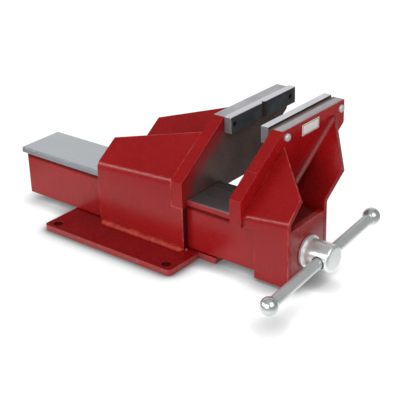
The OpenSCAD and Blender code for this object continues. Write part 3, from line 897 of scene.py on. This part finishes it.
def face_rule(special, plain_behind=-math.inf):
    """A rule that gives faces a special place by their centre and normal.

    Elsewhere it leaves the place as it is, but takes the edges behind an x for faces.
    """
    def rule(center, normal, index):
        for test, place_index in special:
            if test(center, normal):
                return place_index
        return FACE if center.x < plain_behind else index
    return rule


def on_top(node, rounding):
    """A test for the top of a plate and the upper part of its rounded edges."""
    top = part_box(node)[1].z - 1.3 * rounding
    return lambda c, n: c.z > top and n.z > TILTED


def in_base_hole(point):
    """Whether a point lies on the wall of one of the base's bolt holes."""
    margin = 0.5
    dims = next(mount["dims"] for mount in frame["record"]["mounts"] if mount["name"] == "base_bolts")
    across = abs(point.x) - dims["spacing_x_mm"] * MM / 2
    along = abs(point.y) - dims["spacing_y_mm"] * MM / 2
    return math.hypot(across, along) < (dims["hole_r_mm"] + margin) * MM


class VISE_OT_body(bpy.types.Operator):
    """Base plate, folded walls and keeper bar in red enamel, with the dark ends of the walls"""

    bl_idname = "vise.body"
    bl_label = "Body plates"

    def execute(self, context):
        rounding = context.scene.vise_enamel.edge_round
        rule = face_rule([
            (lambda c, n: abs(n.z) < TILTED and in_base_hole(c), EXTRA),
            (lambda c, n: abs(n.z) < TILTED, EDGE),
        ])
        dress("base_plate", ("foot_red", "foot_edge", "hole_red"), 1.4 * rounding, rule, segments=3)
        dress("rear_keeper", ("red", "red_edge"), rounding)
        for node in ("near_wall", "far_wall"):
            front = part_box(node)[1].x - rounding
            rule = face_rule([(lambda c, n, front=front: n.x > ALONG and c.x > front, EXTRA)])
            dress(node, ("red", "red_edge", "wall_end"), rounding, rule)
        return {"FINISHED"}


class VISE_OT_fixed_jaw(bpy.types.Operator):
    """Fixed jaw plate with its rolled steel face and ground top, and its insert"""

    bl_idname = "vise.fixed_jaw"
    bl_label = "Fixed jaw"

    def execute(self, context):
        rounding = context.scene.vise_enamel.edge_round
        low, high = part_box("fixed_jaw_plate")
        rule = face_rule([
            (on_top("fixed_jaw_plate", rounding), EXTRA_2),
            (lambda c, n: n.x > ALONG, EXTRA),
        ], (low.x + high.x) / 2)
        dress("fixed_jaw_plate", ("red", "jaw_edge", "mill", "ground"), rounding, rule)
        dress_insert("fixed_jaw_insert", context.scene.vise_steel.edge_round)
        return {"FINISHED"}


def dress_insert(node, rounding):
    """An insert with dark faces, a ground top, grey ends and, where it has them, dark holes and groove."""
    groove_reach, groove_lean, flat_on, downward = 5 * MM, 0.15, 0.99, 0.2
    low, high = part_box(node)
    middle = (low.y + high.y) / 2
    bolt_low, bolt_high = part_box("fixed_jaw_bolts")
    bolt_radius = (bolt_high.z - bolt_low.z) / 2
    bolt_z = (bolt_low.z + bolt_high.z) / 2

    def in_hole(c):
        return any(math.hypot(c.y - y, c.z - bolt_z) < bolt_radius
                   for y in (bolt_low.y + bolt_radius, bolt_high.y - bolt_radius))

    rule = face_rule([
        (lambda c, n: abs(n.x) < flat_on and in_hole(c), EXTRA_2),
        (lambda c, n: n.z > TILTED, EDGE),
        (lambda c, n: n.z < -downward, FACE),
        (lambda c, n: abs(n.y) > ALONG, EXTRA),
        (lambda c, n: abs(n.y) > groove_lean and abs(c.y - middle) < groove_reach, EXTRA_2),
    ])
    dress(node, ("insert", "insert_top", "insert_end", "groove"), rounding, rule)


class VISE_OT_slide(bpy.types.Operator):
    """Slide: bright top plate, red sides and tie"""

    bl_idname = "vise.slide"
    bl_label = "Slide"

    def execute(self, context):
        rounding = context.scene.vise_enamel.edge_round
        sideways = 0.7
        rule = face_rule([(lambda c, n: abs(n.y) > sideways, EXTRA)])
        dress("slide_top", ("slide", "slide", "slide_edge"), 0.8 * rounding, rule)
        for node in ("slide_side_near", "slide_side_far", "slide_tie"):
            dress(node, ("side_red",), 0.6 * rounding)
        return {"FINISHED"}


class VISE_OT_moving_jaw(bpy.types.Operator):
    """Moving jaw plate with its ground top, folded cheeks, front plate, insert and plain label"""

    bl_idname = "vise.moving_jaw"
    bl_label = "Moving jaw"

    def execute(self, context):
        rounding = context.scene.vise_enamel.edge_round
        inward, label_round = 0.35, 0.15 * MM
        low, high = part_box("moving_jaw_plate")
        rule = face_rule([
            (on_top("moving_jaw_plate", rounding), EXTRA),
            (lambda c, n: n.x > ALONG, EXTRA_2),
        ], (low.x + high.x) / 2)
        dress("moving_jaw_plate", ("red", "jaw_edge", "moving_top", "front_red"), rounding, rule)
        for node, way in (("near_cheek", 1), ("far_cheek", -1)):
            rule = face_rule([(lambda c, n, way=way: n.y * way > inward, EXTRA)])
            dress(node, ("red", "red_edge", "inner"), 0.8 * rounding, rule)
        rule = face_rule([(lambda c, n: n.x < -ALONG, EXTRA)])
        dress("front_plate", ("box_red", "red_edge", "inner"), 0.8 * rounding, rule)
        dress("insert_backing", ("backing",), 0.4 * rounding)
        dress_insert("moving_jaw_insert", context.scene.vise_steel.edge_round)
        dress("label_plate", ("label",), label_round)
        return {"FINISHED"}


class VISE_OT_nut(bpy.types.Operator):
    """Bronze nut and bush, and the nut screws"""

    bl_idname = "vise.nut"
    bl_label = "Nut and bush"

    def execute(self, context):
        rounding = context.scene.vise_steel.edge_round
        dress("nut_block", ("bronze",), rounding)
        dress("spindle_bush", ("bronze",), 0.5 * rounding)
        dress("nut_screws", ("zinc",), rounding)
        return {"FINISHED"}


class VISE_OT_spindle(bpy.types.Operator):
    """Spindle head, flange, collar and end pieces, and the threaded screw"""

    bl_idname = "vise.spindle"
    bl_label = "Spindle"

    def execute(self, context):
        rounding = context.scene.vise_steel.edge_round
        for node in ("spindle_head", "thrust_flange"):
            turn_normals(dress(node, ("head_zinc",), 1.2 * rounding, segments=3))
        for node in ("end_washer", "end_screw"):
            dress(node, ("zinc",), rounding)
        for node in ("retaining_collar", "collar_pin"):
            dress(node, ("oiled",), rounding)
        thread(context.scene.vise_screw)
        return {"FINISHED"}


def clamped(value):
    """A value, kept between 0 and 1."""
    return min(max(value, 0.0), 1.0)


def thread(settings):
    """The spindle screw with a right-hand trapezoid thread cut into it, from the collar to its end."""
    plain_len, chamfer = 12 * MM, 2.5 * MM
    steps, sides, run_out_turns = 10, 48, 2
    # Half the groove's width at its mouth, and its flank, as shares of the pitch
    groove_half, flank = 0.36, 0.12
    low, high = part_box("spindle_screw")
    middle, radius = (low + high) / 2, (high.z - low.z) / 2
    plain_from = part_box("retaining_collar")[0].x - plain_len

    def depth_at(x, angle):
        phase = (x / settings.pitch - angle / (2 * math.pi)) % 1.0
        cut = clamped((groove_half - abs(phase - 0.5)) / flank)
        run_out = clamped((plain_from - x) / (run_out_turns * settings.pitch))
        return max(settings.depth * cut * run_out, chamfer - (x - low.x))

    stations = []
    x = low.x
    while x < plain_from:
        stations.append(x)
        x += settings.pitch / steps
    stations += [plain_from, high.x]
    shape = bmesh.new()
    rings = []
    for x in stations:
        ring = []
        for side in range(sides):
            angle = 2 * math.pi * side / sides
            size = radius - depth_at(x, angle)
            y, z = middle.y + size * math.sin(-angle), middle.z + size * math.cos(angle)
            ring.append(shape.verts.new((x, y, z)))
        rings.append(ring)
    for ring, following in zip(rings, rings[1:]):
        for side in range(sides):
            after = (side + 1) % sides
            shape.faces.new((ring[side], ring[after], following[after], following[side]))
    shape.faces.new(rings[0])
    shape.faces.new(rings[-1])
    bmesh.ops.recalc_face_normals(shape, faces=shape.faces)
    mesh = mesh_of(shape, "spindle_thread")
    mesh.materials.append(finishes()["oiled"])
    smooth_faces(mesh, sharp_from=40)
    piece = place(mesh, "spindle_thread", BODY_OF["spindle_screw"], SLOT_OF["spindle_screw"])
    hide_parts("spindle_screw")


class VISE_OT_handle(bpy.types.Operator):
    """Handle bar and its two balls in bright zinc"""

    bl_idname = "vise.handle"
    bl_label = "Handle"

    def execute(self, context):
        rounding = 0.4 * MM
        dress("handle_bar", ("bar_zinc",), rounding)
        for node in ("handle_ball_near", "handle_ball_far"):
            dress(node, ("zinc",), rounding)
        return {"FINISHED"}


def domed_bolt(head_radius, head_height, shank_radius, length, rim):
    """One bolt along Z: its domed head above the origin, its shank below."""
    steps, sides = 10, 48
    dome = [(head_radius * math.sin(angle), head_height * (rim + (1 - rim) * math.cos(angle)))
            for angle in (math.pi / 2 * step / steps for step in range(steps + 1))]
    shank = [(head_radius, 0), (shank_radius, 0), (shank_radius, -length), (0, -length)]
    mesh = mesh_of(lathe(dome + shank, sides), "domed_bolt")
    smooth_faces(mesh, sharp_from=32)
    return add_object("domed_bolt", mesh)


class VISE_OT_bolts(bpy.types.Operator):
    """Domed jaw bolts, one copy on each bolt place"""

    bl_idname = "vise.bolts"
    bl_label = "Jaw bolts"

    def execute(self, context):
        at_tip = 0.05 * MM
        graph = bolt_graph()
        for node, plate, way in (
                ("moving_jaw_bolts", "moving_jaw_plate", 1), ("fixed_jaw_bolts", "fixed_jaw_plate", -1)):
            low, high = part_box(node)
            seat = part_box(plate)[1 if way > 0 else 0].x
            end, tip = (high.x, low.x) if way > 0 else (low.x, high.x)
            head_radius, bolt_z = (high.z - low.z) / 2, (low.z + high.z) / 2
            shank = [v.co.z for v in frame["nodes"][node].data.vertices if abs(v.co.x - tip) < at_tip]
            shank_radius = (max(shank) - min(shank)) / 2
            bolt = domed_bolt(
                head_radius, abs(end - seat), shank_radius, abs(tip - seat), context.scene.vise_screw.rim)
            places = [(seat, y, bolt_z) for y in (low.y + head_radius, high.y - head_radius)]
            points = bpy.data.meshes.new(node + "_points")
            points.from_pydata(places, [], [])
            mesh = graph.run(points, {
                "Bolt": bolt, "Turn": (0, way * math.pi / 2, 0), "Material": finishes()["bolt"]})
            bpy.data.objects.remove(bolt)
            piece = place(mesh, node + "_dressed", BODY_OF[node], SLOT_OF[node])
            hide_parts(node)
        return {"FINISHED"}


def bead(points, leg, rough=1.0):
    """One weld path: its points with the leg and the roughness of the bead there."""
    return [(point, leg, rough) for point in points]


def body_beads(settings):
    """Weld paths of the body."""
    inset, at_base, sheet_rough = 1.5 * MM, 0.1 * MM, 0.5
    base_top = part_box("base_plate")[1].z
    low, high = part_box("near_wall")
    far = frame["nodes"]["far_wall"].data.vertices
    far_foot = max(v.co.y for v in far if v.co.z < base_top + at_base)
    inner_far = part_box("far_wall")[0].y
    plate_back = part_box("fixed_jaw_plate")[0].x
    keeper_low, keeper_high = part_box("rear_keeper")
    keeper_from, keeper_to = keeper_low.x + inset, keeper_high.x - inset
    leg, small = settings.foot_leg, settings.small_leg
    paths = []
    for y in (low.y, far_foot):
        paths.append(bead([(low.x + inset, y, base_top), (high.x - inset, y, base_top)], leg))
    for x in (low.x, high.x):
        paths.append(bead([(x, low.y + inset, base_top), (x, -inner_far - inset, base_top)], small))
        paths.append(bead([(x, inner_far + inset, base_top), (x, far_foot - inset, base_top)], small))
    for y in (keeper_low.y, keeper_high.y):
        paths.append(bead([(keeper_from, y, keeper_high.z), (keeper_to, y, keeper_high.z)], small))
    seam = [(plate_back, y, z) for y, z in outer_chain("far_wall", plate_back)]
    paths.append(bead(seam, 0.9 * leg, sheet_rough))
    return paths


def jaw_beads(settings):
    """Weld paths of the moving jaw."""
    smooth, fine_leg, up_the_edge = 0.25, 0.35 * MM, 0.4
    plate_low, plate_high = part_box("moving_jaw_plate")
    back, front = plate_low.x, plate_high.x
    seam = [(front, y, z) for y, z in outer_chain("far_cheek", front)]
    paths = [bead(seam, settings.cheek_leg, smooth)]
    (y0, z0), (y1, z1) = slanted_edge("moving_jaw_plate")
    across = (y0 + up_the_edge * (y1 - y0), z0 + up_the_edge * (z1 - z0))
    paths.append(bead([(back + MM, *across), (front - MM, *across)], fine_leg))
    low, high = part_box("slide_tie")
    for y in (low.y, high.y):
        paths.append(bead([(low.x, y, low.z + MM), (low.x, y, high.z - MM)], settings.small_leg))
    return paths


class VISE_OT_welds(bpy.types.Operator):
    """Painted weld beads along the seams of the body and the moving jaw"""

    bl_idname = "vise.welds"
    bl_label = "Weld beads"

    def execute(self, context):
        settings = context.scene.vise_weld
        graph = bead_graph()
        for body, paths, look in (
                ("body", body_beads(settings), "weld"), ("moving_jaw", jaw_beads(settings), "smooth_weld")):
            edges = []
            start = 0
            for path in paths:
                edges += [(index, index + 1) for index in range(start, start + len(path) - 1)]
                start += len(path)
            points, legs, roughs = zip(*(entry for path in paths for entry in path))
            mesh = bpy.data.meshes.new(body + "_weld_paths")
            mesh.from_pydata(points, edges, [])
            for name, values in (("leg", legs), ("rough", roughs)):
                mesh.attributes.new(name, "FLOAT", "POINT").data.foreach_set("value", values)
            made = graph.run(mesh, {
                "Ripple Pitch": settings.pitch, "Ripple": settings.ripple, "Seed": float(settings.seed),
                "Material": finishes()[look]})
            if not made.polygons:
                raise RuntimeError("the weld paths made no bead")
            place(made, body + "_welds", body, "red_enamel")
        return {"FINISHED"}


# Stage


def studio_sky(strength):
    """World light in bands of height, dim along the horizon, so that gloss stays deep.

    It is even under the floor, and the camera sees it white.
    """
    # Level of the light by height, from the horizon to straight above
    levels = ((0.0, 0.18), (0.15, 0.2), (0.4, 0.38), (0.65, 0.2), (0.85, 0.3), (1.0, 0.5))
    white = (1, 1, 1)
    world = bpy.data.worlds.new("studio_sky")
    world.use_nodes = True
    sky = NodeTree(world.node_tree)
    coord = sky.add("ShaderNodeTexCoord").outputs["Generated"]
    height = sky.add("ShaderNodeSeparateXYZ", {0: coord}).outputs[2]
    below = sky.math("LESS_THAN", height, 0.0)
    bands = sky.add("ShaderNodeValToRGB", {0: sky.math("MAXIMUM", height, below)})
    elements = bands.color_ramp.elements
    while len(elements) < len(levels):
        elements.new(0.5)
    for element, (position, level) in zip(elements, levels):
        element.position = position
        element.color = (level, level, level, 1.0)
    from_camera = sky.add("ShaderNodeLightPath").outputs["Is Camera Ray"]
    links = {"Color": sky.mix(from_camera, bands.outputs[0], white), "Strength": strength}
    light = sky.add("ShaderNodeBackground", links).outputs[0]
    sky.add("ShaderNodeOutputWorld", {"Surface": light})
    bpy.context.scene.world = world


def pale_floor(color, reach):
    """A wide pale floor, seen white from above with a soft shadow where it is touched, and clear from below.

    Reflections see it dim away from the vise.
    """
    radius, sides, drop = 8.0, 96, 0.2 * MM
    glow, caught, deepest = 0.92, 0.2, 0.16
    foot_depth, hung_depth, hung_from, foot_gap = 4.3, 2.2, 30 * MM, 1.5 * MM
    roof_reach, roofed, clear = 60 * MM, 0.16, 0.48
    bright_to, dim_from, near, far = 30 * MM, 95 * MM, 1.4, 0.3
    shape = bmesh.new()
    bmesh.ops.create_circle(shape, cap_ends=True, radius=radius, segments=sides)
    for v in shape.verts:
        v.co.z = -drop
    floor = add_object("floor", mesh_of(shape, "floor"))
    finish = Finish("pale_floor", "ShaderNodeMixShader")

    def open_to(distance):
        links = {"Distance": distance}
        return finish.add("ShaderNodeAmbientOcclusion", links, samples=16).outputs["AO"]

    def beyond(node, axis):
        low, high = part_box(node)
        middle, half = (low[axis] + high[axis]) / 2, (high[axis] - low[axis]) / 2
        off = finish.math("ABSOLUTE", finish.math("SUBTRACT", finish.axis(axis), middle))
        return finish.math("SUBTRACT", off, half)

    depth = finish.ramp(beyond("base_plate", 0), 0.0, hung_from, foot_depth, hung_depth)
    unroofed = finish.ramp(open_to(roof_reach), roofed, clear)
    open_share = finish.math("MULTIPLY", finish.math("POWER", open_to(reach), depth), unroofed)
    shade = finish.math("ADD", finish.math("MULTIPLY", open_share, 1 - deepest), deepest)
    path = finish.add("ShaderNodeLightPath").outputs
    mirrored = finish.math("MAXIMUM", path["Is Glossy Ray"], path["Is Transmission Ray"])
    outside = finish.math("MAXIMUM", beyond("slide_top", 0), beyond("base_plate", 1))
    far_off = finish.ramp(outside, bright_to, dim_from, near - 1, far - 1)
    seen_share = finish.math("ADD", 1.0, finish.math("MULTIPLY", mirrored, far_off))
    strength = finish.math("MULTIPLY", finish.math("MULTIPLY", shade, glow), seen_share)
    lift = finish.add("ShaderNodeEmission", {"Strength": strength}).outputs[0]
    lit = finish.mix(shade, (0, 0, 0), scaled(color, caught))
    seen_floor = finish.add("ShaderNodeBsdfDiffuse", {"Color": lit}).outputs[0]
    seen = finish.add("ShaderNodeAddShader", {0: seen_floor, 1: lift}).outputs[0]
    plain = finish.add("ShaderNodeBsdfDiffuse", {"Color": color}).outputs[0]
    is_seen = finish.math("MAXIMUM", path["Is Camera Ray"], mirrored)
    above = finish.add("ShaderNodeMixShader", {0: is_seen, 1: plain, 2: seen}).outputs[0]
    from_below = finish.add("ShaderNodeNewGeometry").outputs["Backfacing"]
    from_the_foot = finish.math("LESS_THAN", path["Ray Length"], foot_gap)
    let_through = finish.math("MAXIMUM", from_below, from_the_foot)
    through = finish.add("ShaderNodeBsdfTransparent").outputs[0]
    for socket, value in zip(finish.shader.inputs, (let_through, above, through)):
        finish.put(socket, value)
    floor.data.materials.append(finish.material)


def area_light(name, way, distance, size, power, target):
    """A soft light, wide and high by size, at a distance from the target along a direction."""
    light = bpy.data.lights.new(name, "AREA")
    light.shape = "RECTANGLE"
    light.size, light.size_y = size
    light.energy = power
    lamp = add_object(name, light)
    lamp.visible_camera = False
    lamp.location = target + Vector(way).normalized() * distance
    lamp.rotation_euler = (lamp.location - target).to_track_quat("Z", "Y").to_euler()


def photo_camera(settings):
    """The camera that was fitted to the photograph."""
    lens = bpy.data.cameras.new("camera")
    lens.sensor_fit = "HORIZONTAL"
    lens.sensor_width = SENSOR_MM
    lens.lens = settings.focal_px * SENSOR_MM / PHOTO_SIZE
    lens.clip_start = 0.02
    lens.clip_end = 40.0
    camera = add_object("camera", lens)
    heading, height = settings.azimuth, settings.elevation
    level = math.cos(height)
    back = Vector((math.sin(heading) * level, -math.cos(heading) * level, math.sin(height)))
    right = Vector((math.cos(heading), math.sin(heading), 0))
    up = back.cross(right)
    upright = Matrix((right, up, back)).transposed()
    turn_in_frame = Matrix.Rotation(settings.roll, 3, "Z")
    camera.matrix_world = Matrix.Translation(settings.eye) @ (upright @ turn_in_frame).to_4x4()
    bpy.context.scene.camera = camera


class VISE_OT_stage(bpy.types.Operator):
    """Pale floor, soft studio light and the photograph's camera"""

    bl_idname = "vise.stage"
    bl_label = "Stage"

    def execute(self, context):
        settings = context.scene.vise_stage
        context.scene.view_settings.view_transform = "Standard"
        target = (CAD_BOX[0] + CAD_BOX[1]) / 2
        studio_sky(settings.sky)
        pale_floor(settings.floor, settings.shadow_reach)
        # Each light's name, direction from the vise, distance, width and height, and power
        for name, way, distance, size, power in (
                ("key", (0.2, -0.9, 0.38), 2.0, (1.3, 1.3), settings.key_power),
                ("fill", (0.78, -0.15, 0.62), 2.0, (1.4, 1.4), settings.fill_power),
                ("strip", (-0.577, -0.72, 0.4), 2.0, (1.4, 0.42), settings.strip_power),
                ("card", (-0.58, 0.7, 0.43), 2.5, (3.2, 2.2), settings.card_power)):
            area_light(name, way, distance, size, power, target)
        photo_camera(settings)
        return {"FINISHED"}


class VISE_PT_finish(bpy.types.Panel):
    """Lists the steps and their sizes."""

    bl_idname = "VISE_PT_finish"
    bl_label = "Offset Bench Vise"
    bl_space_type = "VIEW_3D"
    bl_region_type = "UI"
    bl_category = "Vise"

    def draw(self, context):
        layout = self.layout
        for step in STEPS:
            layout.operator(step.bl_idname)
        for name, group in SETTINGS.items():
            box = layout.box()
            for prop in group.__annotations__:
                box.prop(getattr(context.scene, name), prop)


SETTINGS = {
    "vise_enamel": EnamelSettings,
    "vise_steel": SteelSettings,
    "vise_weld": WeldSettings,
    "vise_screw": ScrewSettings,
    "vise_stage": StageSettings,
}
STEPS = (
    VISE_OT_body, VISE_OT_fixed_jaw, VISE_OT_slide, VISE_OT_moving_jaw, VISE_OT_nut,
    VISE_OT_spindle, VISE_OT_handle, VISE_OT_bolts, VISE_OT_welds, VISE_OT_stage,
)
CLASSES = (*SETTINGS.values(), *STEPS, VISE_PT_finish)


def register():
    for kind in CLASSES:
        bpy.utils.register_class(kind)
    for name, group in SETTINGS.items():
        setattr(bpy.types.Scene, name, PointerProperty(type=group))


def unregister():
    for name in SETTINGS:
        delattr(bpy.types.Scene, name)
    for kind in reversed(CLASSES):
        bpy.utils.unregister_class(kind)


def main():
    register()
    bpy.ops.vise.body()
    bpy.ops.vise.fixed_jaw()
    bpy.ops.vise.slide()
    bpy.ops.vise.moving_jaw()
    bpy.ops.vise.nut()
    bpy.ops.vise.spindle()
    bpy.ops.vise.handle()
    bpy.ops.vise.bolts()
    bpy.ops.vise.welds()
    bpy.ops.vise.stage()


if __name__ == "__main__":
    main()
